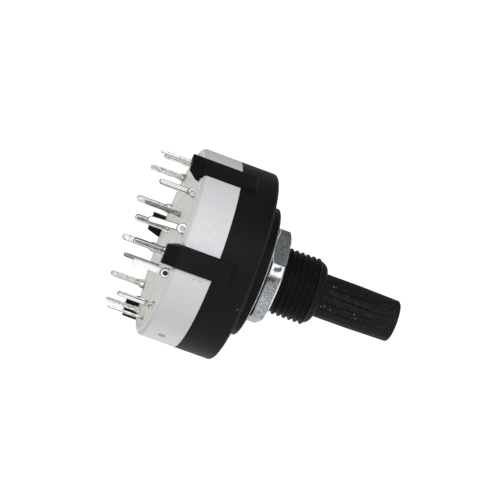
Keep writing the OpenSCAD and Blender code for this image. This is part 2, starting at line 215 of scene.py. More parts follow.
class SwitchStage(bpy.types.PropertyGroup):
    """Camera, floor and light."""

    near_side: turn("Near side", "Direction round the shaft that faces the camera", 248.7)
    lean: turn("Lean", "How far the camera stands behind the shaft's square side view", 9.1)
    roll: turn("Roll", "Turn of the camera about its line of sight", 20)
    distance: length("Distance", "From the camera to the point it looks at", 320)
    pixels_per_mm: FloatProperty(name="Scale", default=7.52,
                                 description="Pixels for each millimetre at the target")
    target_along: FloatProperty(name="Target along", description="Target's place along the shaft",
                                default=-1.8 * MM, precision=5, unit="LENGTH")
    target_across: FloatProperty(name="Target across", description="Target's place across the shaft",
                                 default=2.466 * MM, precision=5, unit="LENGTH")
    floor_drop: length("Floor drop", "Depth of the floor below the shaft", 120)


class Wire:
    """A socket of a node tree. Arithmetic on wires adds Math nodes to their tree."""

    def __init__(self, tree, socket=None):
        self.tree = tree
        self.socket = socket

    def node(self, kind, settings=None, inputs=None, output=0):
        """Add any node: its settings are set first, then the values or links of its sockets."""
        made = self.tree.nodes.new(kind)
        for key, value in (settings or {}).items():
            if key == "stops":
                fill_ramp(made.color_ramp, value)
            else:
                setattr(made, key, value)
        for key, value in (inputs or {}).items():
            if isinstance(value, Wire):
                self.tree.links.new(value.socket, made.inputs[key])
            else:
                made.inputs[key].default_value = value
        return Wire(self.tree, made.outputs[output] if made.outputs else None)

    def maths(self, operation, a, b=0.0):
        return self.node("ShaderNodeMath", {"operation": operation}, {0: a, 1: b})

    def __add__(self, other):
        return self.maths("ADD", self, other)

    def __radd__(self, other):
        return self.maths("ADD", other, self)

    def __sub__(self, other):
        return self.maths("SUBTRACT", self, other)

    def __rsub__(self, other):
        return self.maths("SUBTRACT", other, self)

    def __mul__(self, other):
        return self.maths("MULTIPLY", self, other)

    def __rmul__(self, other):
        return self.maths("MULTIPLY", other, self)

    def __truediv__(self, other):
        return self.maths("DIVIDE", self, other)

    def __rtruediv__(self, other):
        return self.maths("DIVIDE", other, self)

    def __lt__(self, other):
        return self.maths("LESS_THAN", self, other)

    def __gt__(self, other):
        return self.maths("GREATER_THAN", self, other)


def fill_ramp(ramp, stops):
    """Give a colour ramp its stops: (place, grey or colour)."""
    while len(ramp.elements) < len(stops):
        ramp.elements.new(1.0)
    for element, (place, value) in zip(ramp.elements, stops):
        element.position = place
        grey = isinstance(value, (int, float))
        element.color = (value, value, value, 1) if grey else (*value, 1)


def blank_tree(owner):
    """The emptied node tree of a material or world, as a wire to add nodes with."""
    owner.use_nodes = True
    owner.node_tree.nodes.clear()
    return Wire(owner.node_tree)


def place_in_mm(tree):
    """The point on the piece, in millimetres of the row frame."""
    metres = tree.node("ShaderNodeTexCoord", output="Object")
    return tree.node("ShaderNodeVectorMath", {"operation": "SCALE"}, {0: metres, "Scale": 1 / MM})


def surface_normal(tree):
    """The direction that the surface faces, in the piece's own frame."""
    return tree.node("ShaderNodeTexCoord", output="Normal")


def coordinate(tree, vector, axis):
    """One coordinate of a vector: X runs along the shaft, Y and Z across it."""
    return tree.node("ShaderNodeSeparateXYZ", {}, {0: vector}, output=axis)


def vectors(tree, operation, a, b=(0.0, 0.0, 0.0), output="Vector"):
    """Arithmetic on vectors."""
    return tree.node("ShaderNodeVectorMath", {"operation": operation}, {0: a, 1: b}, output=output)


def shade(colour, factor):
    """A colour made darker or lighter."""
    return tuple(min(1.0, factor * c) for c in colour)


def noise(tree, place, scale, detail=2.0, rough=0.5):
    """Soft noise from 0 to 1, with scale features for each unit of place."""
    return tree.node("ShaderNodeTexNoise", {"noise_dimensions": "3D"},
                     {"Vector": place, "Scale": scale, "Detail": detail, "Roughness": rough})


def ramp(tree, value, *stops):
    """The value passed through a ramp of (place, grey or colour) stops."""
    return tree.node("ShaderNodeValToRGB", {"stops": stops}, {0: value})


def mix_colour(tree, share, first, second, blend="MIX"):
    """A colour between two others."""
    first, second = (c if isinstance(c, Wire) else (*c, 1.0) for c in (first, second))
    return tree.node("ShaderNodeMix", {"data_type": "RGBA", "blend_type": blend},
                     {0: share, 6: first, 7: second}, output=2)


def specks(tree, place, scale, radius, share):
    """1 on sparse round specks: a share of the cells holds one."""
    cell = {"Vector": place, "Scale": scale, "Randomness": 1.0}
    near = tree.node("ShaderNodeTexVoronoi", {}, cell, output="Distance")
    drawn = tree.node("ShaderNodeTexVoronoi", {}, cell, output="Color")
    red = tree.node("ShaderNodeSeparateColor", {}, {0: drawn})
    return (near < radius) * (red < share)


def spots(tree, place, centres, radius):
    """1 within about the radius of any of the centres, in millimetres, fading out at its edge."""
    nearest = 1.0
    for centre in centres:
        gap = vectors(tree, "DISTANCE", place, centre, output="Value")
        nearest = tree.maths("MINIMUM", gap / radius, nearest)
    return ramp(tree, nearest, (0.65, 1.0), (1.0, 0.0))


def bump(tree, height, distance_mm, strength=1.0):
    """A normal disturbed by a height from 0 to 1."""
    return tree.node("ShaderNodeBump", {},
                     {"Height": height, "Distance": distance_mm * MM, "Strength": strength})


def finish_material(finish, tree, sockets):
    """Close a material with one Principled shader."""
    shader = tree.node("ShaderNodeBsdfPrincipled", {}, sockets)
    tree.node("ShaderNodeOutputMaterial", {}, {"Surface": shader})
    return finish


def distance_from_axis(tree, place):
    """Distance of the point from the shaft's axis, in millimetres."""
    across = vectors(tree, "MULTIPLY", place, (0, 1, 1))
    return vectors(tree, "LENGTH", across, output="Value")


def rim_wear_and_highlight(tree, place):
    """Painted highlight in worn patches: most on the near part of the flange's rounded front edge, a little
    on the rest and on the body's.
    """
    forward = coordinate(tree, surface_normal(tree), "X")
    turned = ramp(tree, forward, (0.12, 0.0), (0.35, 1.0), (0.75, 1.0), (0.95, 0.0))
    slightly = ramp(tree, forward, (0.14, 0.0), (0.24, 1.0), (0.32, 1.0), (0.46, 0.0))
    radius = distance_from_axis(tree, place)
    along = coordinate(tree, place, "X")
    inside, outside = FLANGE_RIM
    flange = (radius > inside) * (radius < outside) * (along > FLANGE_RIM_START)
    body = (radius > BODY_RIM) * (along > BODY_RIM_START)
    worn = ramp(tree, noise(tree, place, 0.8), (0.3, 0.6), (0.65, 1.0))
    # The painted highlight is strongest on the flange's near side
    nearness = 0.5 - coordinate(tree, place, "Y") / FLANGE_WIDTH
    near_side = ramp(tree, nearness, (0.55, 0.12), (0.85, 1.0))
    return worn * (near_side * flange * turned + BODY_RIM_HIGHLIGHT * body * slightly)


def black_moulding(name, colour, dust, rubbed_and_highlight):
    """Satin black plastic with a faint grain, a painted highlight in worn patches along the front edges,
    darker hook ends, dust and one brown fleck.
    """
    finish = bpy.data.materials.new(name)
    tree = blank_tree(finish)
    place = place_in_mm(tree)
    clouds = noise(tree, place, 0.3, 3.0)
    grain = noise(tree, place, 9.0)
    flecks = specks(tree, place, 1.3, 0.09, 0.035)
    hook_end = coordinate(tree, place, "X") < REAR_MM
    base = mix_colour(tree, ramp(tree, clouds, (0.35, 0.0), (0.75, 0.5)), colour, shade(colour, 1.9))
    base = mix_colour(tree, 0.7 * hook_end, base, HOOK_BLACK)
    base = mix_colour(tree, flecks, base, dust)
    base = mix_colour(tree, spots(tree, place, BODY_FLECK, 0.18), base, FLECK_BROWN)
    # Painted highlight along the front edges, broken into patches like wear
    base = mix_colour(tree, rim_wear_and_highlight(tree, place), base, rubbed_and_highlight)
    return finish_material(finish, tree, {
        "Base Color": base,
        "Roughness": 0.4 + 0.16 * clouds,
        "Normal": bump(tree, grain, 0.012, 0.5),
        "Specular IOR Level": BLACK_GLOSS,
    })


def shaft_moulding(name, colour, dust):
    """Black plastic with faint streaks along the shaft, a pale speckle, paler grooves and dust."""
    finish = bpy.data.materials.new(name)
    tree = blank_tree(finish)
    place = place_in_mm(tree)
    drawn = vectors(tree, "MULTIPLY", place, (0.12, 1.0, 1.0))
    streaks = noise(tree, drawn, 3.2, 3.0)
    grain = noise(tree, place, 11.0)
    flecks = spots(tree, place, SHAFT_DUST, 0.12)
    speckle = ramp(tree, noise(tree, place, 3.0, 4.0, 0.75), (0.52, 0.0), (0.64, 1.0))
    groove = ramp(tree, distance_from_axis(tree, place) / SHAFT_RADIUS, (0.93, 1.0), (0.99, 0.0))
    pale = shade(colour, 2.2)
    base = mix_colour(tree, ramp(tree, streaks, (0.4, 0.0), (0.72, 0.6)), colour, pale)
    base = mix_colour(tree, 0.6 * groove, base, pale)
    base = mix_colour(tree, 0.8 * speckle, base, shade(colour, 5.0))
    base = mix_colour(tree, 0.5 * flecks, base, dust)
    return finish_material(finish, tree, {
        "Base Color": base,
        "Roughness": 0.42 + 0.18 * streaks,
        "Normal": bump(tree, grain, 0.015, 0.5),
        "Specular IOR Level": BLACK_GLOSS,
    })


def pale_moulding(name, colour):
    """Pale grey plastic, faintly mottled, with painted shade in a band low on its sides and painted light
    at its bottom, painted shade on its rounded rear edge, painted light on its rear face, paler in patches,
    a ring of painted shade on the rear face, a few specks and the mark of the moulding gate."""
    finish = bpy.data.materials.new(name)
    tree = blank_tree(finish)
    place = place_in_mm(tree)
    clouds = noise(tree, place, 0.22, 3.0)
    mottle = noise(tree, place, 1.4)
    grain = noise(tree, place, 8.0)
    cool = (0.93 * colour[0], 0.93 * colour[1], 0.95 * colour[2])
    warm = (colour[0], 0.985 * colour[1], 0.95 * colour[2])
    # Painted light: the paler, warmer tone of the rear face
    lit_rear_tone = (1.06 * colour[0], 1.045 * colour[1], 0.975 * colour[2])
    base = mix_colour(tree, ramp(tree, mottle, (0.4, 0.0), (0.7, 0.8)), colour, cool)
    base = mix_colour(tree, ramp(tree, clouds, (0.45, 0.0), (0.75, 0.7)), base, warm)
    height = coordinate(tree, place, "Z") / BASE_WIDTH + 0.5
    # Painted shade: a darker band low on the sides
    low = ramp(tree, height, (0.2, 0.0), (0.32, 1.0), (0.5, 0.7), (0.62, 0.0))
    base = mix_colour(tree, low, base, shade(colour, 0.87))
    # Painted light: paler toward the bottom
    under = ramp(tree, height, (0.1, 1.0), (0.24, 0.0))
    base = mix_colour(tree, under, base, shade(colour, 1.3))
    backward = -1.0 * coordinate(tree, surface_normal(tree), "X")
    # Painted shade on the base's rounded rear edge
    rounding = ramp(tree, backward, (0.15, 0.0), (0.35, 1.0), (0.8, 1.0), (0.95, 0.0))
    base = mix_colour(tree, rounding, base, shade(colour, 0.84))
    # Painted light: the rear face paler, and nearly white in patches
    rear_face = ramp(tree, backward, (0.85, 0.0), (0.97, 1.0))
    base = mix_colour(tree, rear_face, base, lit_rear_tone)
    rear_light_patches = ramp(tree, noise(tree, place, 0.4), (0.35, 0.1), (0.7, 0.6))
    base = mix_colour(tree, rear_face * rear_light_patches, base, REAR_FACE_LIGHT)
    # Painted shade: a grey ring on the rear face near its rim
    outward = distance_from_axis(tree, place) / LIP_SPAN
    lip_shade = ramp(tree, outward, (0.585, 0.0), (0.595, 1.0), (0.61, 1.0), (0.62, 0.0))
    base = mix_colour(tree, 0.35 * lip_shade * (backward > 0.8), base, LIP_SHADE_GREY)
    base = mix_colour(tree, 0.7 * spots(tree, place, BASE_SPECKS, 0.16), base, SPECK_GREY)
    outer, inner, middle = (spots(tree, place, (GATE_MARK,), radius) for radius in GATE_RADII)
    base = mix_colour(tree, 0.8 * (outer - 0.55 * inner), base, GATE_GREY)
    base = mix_colour(tree, 0.7 * middle, base, GATE_GREY)
    return finish_material(finish, tree, {
        "Base Color": base,
        "Roughness": 0.42 + 0.12 * mottle,
        "Normal": bump(tree, grain, 0.01, 0.35),
        "Subsurface Weight": 0.08,
        "Subsurface Radius": (0.6 * MM, 0.55 * MM, 0.5 * MM),
        "Subsurface Scale": 1.0,
    })


def zinc_plate(name, colour, bright, face, slope):
    """Zinc plate, speckled on its faces, with painted highlights along its rims and on the near corner
    facet, a painted dark reflection on the facet higher up, painted shade on the lower flat, a dark spot
    and a patch of painted shade at the near corner and painted shade in the gap low toward the flange. The
    rear rim's painted highlight follows the chamfer: the radius of the face inside it, and its slope."""
    finish = bpy.data.materials.new(name)
    tree = blank_tree(finish)
    place = place_in_mm(tree)
    grain = noise(tree, place, 4.2, 4.0, 0.7)
    clouds = noise(tree, place, 1.2, 3.0, 0.6)
    normal = surface_normal(tree)
    forward = coordinate(tree, normal, "X")
    sideways = coordinate(tree, normal, "Y")
    along = coordinate(tree, place, "X")
    raised = coordinate(tree, place, "Z") / NUT_SPAN + 0.5
    from_rear = along - NUT_REAR_MM
    cone_radius = distance_from_axis(tree, vectors(tree, "SUBTRACT", place, NUT_CHAMFER_AT))
    from_chamfer = from_rear - slope * (cone_radius - face)
    # Painted highlights along the nut's rear chamfer and front edge
    rear_rim_highlight = ramp(tree, from_chamfer, (0.13, 1.0), (0.19, 0.0)) * (forward > -0.4)
    rear_rim_highlight = rear_rim_highlight * ramp(tree, raised, (0.62, 0.0), (0.68, 1.0))
    front_rim_highlight = ramp(tree, NUT_FRONT_MM - along, (0.13, 1.0), (0.22, 0.0))
    front_rim_highlight = front_rim_highlight * ramp(tree, raised, (0.7, 1.0), (0.78, 0.15))
    on_side = tree.maths("ABSOLUTE", forward) < 0.95
    rim = on_side * tree.maths("MAXIMUM", rear_rim_highlight, front_rim_highlight)
    dull = shade(colour, 0.42)
    dark = shade(colour, 0.25)
    stirred = vectors(tree, "ADD", place, 1.1 * (grain - 0.5))
    # Painted shade on the lower flat, darker toward its top
    lower_flat_shade = (sideways < -0.93) * ramp(tree, raised, (0.45, 0.0), (0.68, 0.75))
    base = mix_colour(tree, ramp(tree, grain, (0.44, 0.0), (0.56, 1.0)), colour, dull)
    base = mix_colour(tree, 0.4 * ramp(tree, clouds, (0.4, 0.0), (0.65, 1.0)), base, dull)
    base = mix_colour(tree, lower_flat_shade, base, dark)
    # Painted highlight on the near corner facet, and a painted dark reflection on the facet higher up
    facet = distance_from_axis(tree, place) > NUT_FACET
    base = mix_colour(tree, 0.55 * facet * (raised > 0.6) * (raised < 0.84), base, bright)
    base = mix_colour(tree, 0.7 * facet * (raised > 0.84), base, dark)
    # A dark spot on the near corner facet
    base = mix_colour(tree, spots(tree, stirred, NUT_DARK_SPOT, 0.38), base, shade(colour, 0.16))
    base = mix_colour(tree, 0.9 * spots(tree, stirred, NUT_SHADE, 0.32), base, shade(colour, 0.08))
    # Painted highlight on the rims
    base = mix_colour(tree, rim, base, bright)
    # Painted shade in the gap between nut and flange, low down
    gap_shade = tree.maths("MAXIMUM", ramp(tree, from_rear, (0.26, 1.0), (0.34, 0.0)),
                      ramp(tree, -1.0 * forward, (0.45, 0.0), (0.6, 1.0)))
    low = ramp(tree, raised, (0.66, 1.0), (0.7, 0.0))
    base = mix_colour(tree, 0.95 * gap_shade * low, base, GAP_SHADE_BLACK)
    return finish_material(finish, tree, {
        "Base Color": base,
        # The painted highlights are less metallic, so that they catch the lamps
        "Metallic": 1.0 - 0.7 * rim,
        "Roughness": 0.2 + 0.25 * grain,
        "Normal": bump(tree, grain, 0.04, 0.5),
    })


def facing_out(tree, place):
    """How far the surface faces away from the shaft's axis: 1 outward, -1 inward."""
    across = vectors(tree, "MULTIPLY", place, (0, 1, 1))
    outward = vectors(tree, "NORMALIZE", across)
    return vectors(tree, "DOT_PRODUCT", surface_normal(tree), outward, output="Value")


def strip_shape(tree, place, step, lean=UPRIGHT):
    """For terminals a step apart round the shaft: how far a point lies from the strip's middle line, with
    its round end, and from its eyelet's centre. A leaning strip is pushed aside at its root and tip."""
    x, y, z = (coordinate(tree, place, axis) for axis in "XYZ")
    azimuth = tree.maths("ARCTAN2", y, -1.0 * z)
    turned = tree.node("ShaderNodeMath", {"operation": "WRAP"}, {0: azimuth, 1: step / 2, 2: -step / 2})
    radius = distance_from_axis(tree, place)
    root_push, tip_push = lean
    share = (x - TIP_MM) / (REAR_MM - TIP_MM)
    across = radius * turned + (tip_push + (root_push - tip_push) * share)
    beyond = tree.maths("MINIMUM", x - (TIP_MM + TERMINAL_HALF_W), 0.0)
    from_eye = x - (REAR_MM - EYELET_OUT)
    middle = tree.maths("SQRT", across * across + beyond * beyond)
    eye = tree.maths("SQRT", across * across + from_eye * from_eye)
    return middle, eye


def outline_shade_share(tree, middle, eye, facing, strip_depth=1.0):
    """1 on the thin dark outline of painted shade along a strip's broad faces and round its eyelet, less on
    inward faces.
    """
    on_eye = eye < EYELET_REACH
    strip = strip_depth * ramp(tree, middle, (0.31, 0.0), (0.36, 1.0))
    ring = ramp(tree, eye, *EYELET_HOLE, (0.58, 0.0), (0.64, 1.0))
    broad = ramp(tree, tree.maths("ABSOLUTE", facing), (0.3, 0.0), (0.5, 1.0))
    outer = ramp(tree, 0.5 + 0.5 * facing, (0.25, 0.5), (0.6, 1.0))
    return broad * outer * (on_eye * ring + (1.0 - on_eye) * strip)


def silver_plate(name, colour, eyelet_olive, edge_shade, lean=UPRIGHT, strip_depth=1.0, film=0.0):
    """White silver plate with thin dark outlines of painted shade, speckled inside and with olive patches
    near the eyelets. A film of 1 blackens the middle of the eyelets with painted shade."""
    finish = bpy.data.materials.new(name)
    tree = blank_tree(finish)
    place = place_in_mm(tree)
    along = coordinate(tree, place, "X")
    near_eye = ramp(tree, (along - (REAR_MM - EYELET_OLIVE_REACH)) / EYELET_OLIVE_REACH, (0.0, 0.0), (0.5, 1.0))
    patches = ramp(tree, noise(tree, place, 0.9), (0.48, 0.0), (0.6, 1.0))
    ripple = noise(tree, place, 2.6, 3.0)
    facing = facing_out(tree, place)
    speckle = ramp(tree, noise(tree, place, 3.4, 3.0, 0.7), (0.5, 0.0), (0.6, 1.0))
    middle, eye = strip_shape(tree, place, THROW_STEP, lean)
    # Olive patches near the eyelets
    base = mix_colour(tree, near_eye * patches, colour, eyelet_olive)
    base = mix_colour(tree, 0.7 * speckle * (facing < 0.6), base, shade(eyelet_olive, 0.35))
    base = mix_colour(tree, outline_shade_share(tree, middle, eye, facing, strip_depth), base, edge_shade)
    # Painted shade: the eyelet's middle blackened
    base = mix_colour(tree, film * ramp(tree, eye, *EYELET_HOLE), base, EYELET_SHADE_BLACK)
    return finish_material(finish, tree, {
        "Base Color": base,
        "Metallic": 0.15,
        "Roughness": 0.3 + 0.2 * ripple,
        "Normal": bump(tree, ripple, 0.05, 0.5),
    })


def dull_plate(name, colour, bright, edge_shade):
    """Silver plate worn dark along the middle of each strip, bright at its borders, with dark outlines of
    painted shade.
    """
    finish = bpy.data.materials.new(name)
    tree = blank_tree(finish)
    place = place_in_mm(tree)
    drawn = vectors(tree, "MULTIPLY", place, (0.25, 1.0, 1.0))
    streaks = ramp(tree, noise(tree, drawn, 5.0, 3.0), (0.42, 0.0), (0.66, 1.0))
    facing = facing_out(tree, place)
    middle, eye = strip_shape(tree, place, COMMON_STEP)
    broad = tree.maths("ABSOLUTE", facing) > 0.5
    base = mix_colour(tree, streaks, colour, shade(colour, 3.0))
    base = mix_colour(tree, broad * ramp(tree, middle, (0.2, 0.0), (0.25, 1.0)), base, bright)
    base = mix_colour(tree, outline_shade_share(tree, middle, eye, facing), base, edge_shade)
    return finish_material(finish, tree, {
        "Base Color": base,
        "Metallic": 0.3,
        "Roughness": 0.3 + 0.2 * streaks,
        "Normal": bump(tree, streaks, 0.02, 0.4),
    })


def bright_metal(name, colour, roughness):
    """Plain metal of the pieces inside, with fine marks."""
    finish = bpy.data.materials.new(name)
    tree = blank_tree(finish)
    marks = noise(tree, place_in_mm(tree), 7.0, 3.0)
    base = mix_colour(tree, ramp(tree, marks, (0.4, 0.0), (0.75, 1.0)), colour, shade(colour, 0.75))
    return finish_material(finish, tree, {
        "Base Color": base,
        "Metallic": 1.0,
        "Roughness": roughness + 0.15 * marks,
        "Normal": bump(tree, marks, 0.01, 0.4),
    })


def material(name, maker, *args, **options):
    """One material by name, made once."""
    return bpy.data.materials.get(name) or maker(name, *args, **options)


def new_piece(name, mesh):
    """A new object of the scene, in the row frame."""
    piece = bpy.data.objects.new(name, mesh)
    bpy.context.scene.collection.objects.link(piece)
    return piece


def clean_copy(node, name):
    """A copy of a CAD node's mesh, with its split corners joined and its flat faces whole."""
    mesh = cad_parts[node].data.copy()
    mesh.name = name
    shape = bmesh.new()
    shape.from_mesh(mesh)
    bmesh.ops.remove_doubles(shape, verts=shape.verts, dist=JOIN_GAP)
    bmesh.ops.dissolve_limit(shape, angle_limit=FLAT_ANGLE, verts=shape.verts, edges=shape.edges)
    shape.to_mesh(mesh)
    shape.free()
    return mesh


def soften(piece, width, segments=2, angle=32):
    """Round the piece's sharp edges and shade it smoothly between them."""
    mesh = piece.data
    if "custom_normal" in mesh.attributes:
        mesh.attributes.remove(mesh.attributes["custom_normal"])
    mesh.shade_smooth()
    edges = piece.modifiers.new("soft_edges", "BEVEL")
    edges.width = width
    edges.segments = segments
    edges.limit_method = "ANGLE"
    edges.angle_limit = math.radians(angle)
    edges.use_clamp_overlap = True
    edges.harden_normals = True


def dress(piece, finish, body, slot, *nodes):
    """Give the piece its material and its body, and hide the solids it stands for. The slot is not used."""
    piece.data.materials.clear()
    piece.data.materials.append(finish)
    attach(piece, body)
    if nodes:
        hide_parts(*nodes)


def coat(node, finish):
    """Give a CAD node a material of its own."""
    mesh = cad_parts[node].data
    mesh.materials.clear()
    mesh.materials.append(finish)


def cut_off_bushing(mesh):
    """Cut the plain bushing off a copy of the housing, just above the flange, and close the cut."""
    level = 0.01 * MM
    shape = bmesh.new()
    shape.from_mesh(mesh)
    found = bmesh.ops.bisect_plane(
        shape, geom=shape.verts[:] + shape.edges[:] + shape.faces[:],
        plane_co=(level, 0, 0), plane_no=(1, 0, 0), clear_outer=True)
    rim = [e for e in found["geom_cut"] if isinstance(e, bmesh.types.BMEdge)]
    bmesh.ops.triangle_fill(shape, edges=rim, normal=(1, 0, 0), use_beauty=True)
    shape.to_mesh(mesh)
    shape.free()


def smooth(low, high, value):
    """0 below low, 1 above high and a smooth step between."""
    share = min(1.0, max(0.0, (value - low) / (high - low)))
    return share * share * (3 - 2 * share)


def join_rings(shape, rings):
    """Faces from each ring of points to the next."""
    for low, high in zip(rings, rings[1:]):
        for k in range(len(low)):
            n = (k + 1) % len(low)
            shape.faces.new((low[k], high[k], high[n], low[n]))


def threaded_bushing(sizes):
    """Bushing with a right-hand thread of rounded crests, a rounded end and the shaft's bore."""
    around, rows_per_turn = 144, 16
    pitch, fade = sizes.thread_pitch, sizes.thread_fade
    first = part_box("hex_nut")[1].x
    last = BUSHING_END - sizes.thread_plain
    round_start = BUSHING_END - sizes.bushing_round
    rows = math.ceil(BUSHING_END / pitch * rows_per_turn)
    shape = bmesh.new()

    def radius(along, azimuth):
        phase = (along - sizes.thread_phase) / pitch - (azimuth - sizes.thread_azimuth) / math.tau
        wave = math.cos(math.tau * phase)
        crest = (1 + wave + CREST_NARROWING * wave * wave - CREST_NARROWING) / 2
        shown = smooth(first, first + fade, along) * (1 - smooth(last, last + fade, along))
        r = sizes.thread_root + (sizes.thread_crest - sizes.thread_root) * crest * shown
        if along > round_start:
            rise = (along - round_start) / sizes.bushing_round
            r -= sizes.bushing_round * (1 - math.sqrt(max(0.0, 1 - rise * rise)))
        return max(r, sizes.bushing_bore)

    def ring(along, radius_at):
        verts = []
        for k in range(around):
            azimuth = math.tau * k / around
            r = radius_at(along, azimuth)
            verts.append(shape.verts.new((along, r * math.sin(azimuth), -r * math.cos(azimuth))))
        return verts

    levels = [BUSHING_END * k / rows for k in range(rows + 1)]
    rings = [ring(along, radius) for along in levels]
    rings += [ring(along, lambda *_: sizes.bushing_bore) for along in (BUSHING_END, 0.0)]
    rings.append(rings[0])
    join_rings(shape, rings)
    bmesh.ops.recalc_face_normals(shape, faces=shape.faces)
    mesh = bpy.data.meshes.new("threaded_bushing")
    shape.to_mesh(mesh)
    shape.free()
    mesh.shade_smooth()
    return mesh


class SWITCH_OT_housing(bpy.types.Operator):
    """Make the black housing with its flange, snap arms and threaded bushing"""

    bl_idname = "switch.housing"
    bl_label = "Housing and thread"

    def execute(self, context):
        sizes, colours = context.scene.switch_sizes, context.scene.switch_colours
        finish = material("housing_black", black_moulding, tuple(colours.housing), tuple(colours.dust),
                          tuple(colours.rubbed_and_highlight))
        mesh = clean_copy("front_housing", "housing_moulding")
        cut_off_bushing(mesh)
        housing = new_piece("housing_moulding", mesh)
        soften(housing, sizes.housing_edge)
        dress(housing, finish, "switch_body", "black_moulding", "front_housing")
        bushing = new_piece("threaded_bushing", threaded_bushing(sizes))
        dress(bushing, finish, "switch_body", "black_moulding")
        return {"FINISHED"}


class SWITCH_OT_base(bpy.types.Operator):
    """Make the pale terminal base"""

    bl_idname = "switch.base"
    bl_label = "Terminal base"

    def execute(self, context):
        sizes, colours = context.scene.switch_sizes, context.scene.switch_colours
        base = new_piece("base_moulding", clean_copy("terminal_base", "base_moulding"))
        soften(base, sizes.base_edge)
        finish = material("base_pale", pale_moulding, tuple(colours.base))
        dress(base, finish, "switch_body", "pale_moulding", "terminal_base")
        return {"FINISHED"}


class SWITCH_OT_shaft(bpy.types.Operator):
    """Make the splined shaft with its rotor"""

    bl_idname = "switch.shaft"
    bl_label = "Shaft and rotor"

    def execute(self, context):
        sizes, colours = context.scene.switch_sizes, context.scene.switch_colours
        shaft = new_piece("shaft_moulding", clean_copy("shaft_rotor", "shaft_moulding"))
        soften(shaft, sizes.shaft_edge)
        finish = material("shaft_black", shaft_moulding, tuple(colours.shaft), tuple(colours.dust))
        dress(shaft, finish, "rotor", "shaft_moulding", "shaft_rotor")
        return {"FINISHED"}


def chamfered_nut(mesh, radius, slope):
    """The nut's mesh with its rear corners cut back by a cone. The cone meets the rear face at the radius
    and lies a little off the nut's axis."""
    _, aside, above = (MM * c for c in NUT_CHAMFER_AT)
    rear = min(v.co.x for v in mesh.vertices)
    front = max(v.co.x for v in mesh.vertices)
    reach, spare, around = 9 * MM, 1 * MM, 192
    profile = ((rear - spare * slope, radius - spare), (rear + (reach - radius) * slope, reach),
               (front + spare, reach))
    shape = bmesh.new()
    rings = []
    for along, r in profile:
        ring = []
        for k in range(around):
            azimuth = math.tau * k / around
            place = (along, aside + r * math.sin(azimuth), above - r * math.cos(azimuth))
            ring.append(shape.verts.new(place))
        rings.append(ring)
    join_rings(shape, rings)
    shape.faces.new(rings[0])
    shape.faces.new(rings[-1])
    bmesh.ops.recalc_face_normals(shape, faces=shape.faces)
    cone = bpy.data.meshes.new("chamfer_cone")
    shape.to_mesh(cone)
    shape.free()
    cutter = new_piece("chamfer_cone", cone)
    plain = new_piece("plain_nut", mesh)
    cut = plain.modifiers.new("chamfer", "BOOLEAN")
    cut.operation = "INTERSECT"
    cut.solver = "EXACT"
    cut.object = cutter
    made = plain.evaluated_get(bpy.context.evaluated_depsgraph_get())
    finished = bpy.data.meshes.new_from_object(made)
    for used in (cutter, plain):
        bpy.data.objects.remove(used)
    return finished


class SWITCH_OT_nut(bpy.types.Operator):
    """Make the zinc-plated nut and the stop ring under it"""

    bl_idname = "switch.nut"
    bl_label = "Nut and stop ring"

    def execute(self, context):
        sizes, colours = context.scene.switch_sizes, context.scene.switch_colours
        finish = material("zinc", zinc_plate, tuple(colours.zinc), tuple(colours.zinc_highlight),
                          face=sizes.nut_face / MM, slope=sizes.nut_slope)
        for node, name, width in (("hex_nut", "panel_nut", sizes.nut_edge),
                                  ("stop_ring", "stop_washer", sizes.ring_edge)):
            mesh = clean_copy(node, name)
            if node == "hex_nut":
                mesh = chamfered_nut(mesh, sizes.nut_face, sizes.nut_slope)
                mesh.name = name
            piece = new_piece(name, mesh)
            soften(piece, width, segments=3, angle=20)
            dress(piece, finish, "switch_body", "zinc_plate", node)
        return {"FINISHED"}


def push_aside(mesh, root, tip):
    """Lean one terminal in its own plane: by root at the base's rear face and by tip at its end."""
    end = min(v.co.x for v in mesh.vertices)
    middle = sum((v.co for v in mesh.vertices), Vector()) / len(mesh.vertices)
    aside = Vector((0, middle.z, -middle.y)).normalized()
    sunk = 1.0 * MM
    for v in mesh.vertices:
        share = (v.co.x - end) / (REAR_FACE - end)
        inside = smooth(REAR_FACE, REAR_FACE + sunk, v.co.x)
        v.co += aside * (tip + (root - tip) * min(1.0, share)) * (1 - inside)


def fill_eyelet(mesh, radius, thickness):
    """Close the terminal's eyelet with a thin dark film: a sheet of painted shade."""
    around = 24
    middle = sum((v.co for v in mesh.vertices if v.co.x < REAR_FACE), Vector())
    outward = Vector((0, middle.y, middle.z)).normalized()
    aside = outward.cross(Vector((1, 0, 0)))
    legs = [v.co.dot(outward) for v in mesh.vertices if v.co.x < REAR_FACE]
    centre = Vector((REAR_FACE - EYELET_OUT * MM, 0, 0)) + outward * (min(legs) + max(legs)) / 2
    shape = bmesh.new()
    shape.from_mesh(mesh)
    rings = []
    for level in (-thickness / 2, thickness / 2):
        ring = []
        for k in range(around):
            angle = math.tau * k / around
            spoke = math.cos(angle) * aside + math.sin(angle) * Vector((1, 0, 0))
            ring.append(shape.verts.new(centre + outward * level + radius * spoke))
        rings.append(ring)
    made = [shape.faces.new(ring) for ring in rings]
    for k in range(around):
        n = (k + 1) % around
        made.append(shape.faces.new((rings[0][k], rings[0][n], rings[1][n], rings[1][k])))
    bmesh.ops.recalc_face_normals(shape, faces=made)
    shape.to_mesh(mesh)
    shape.free()


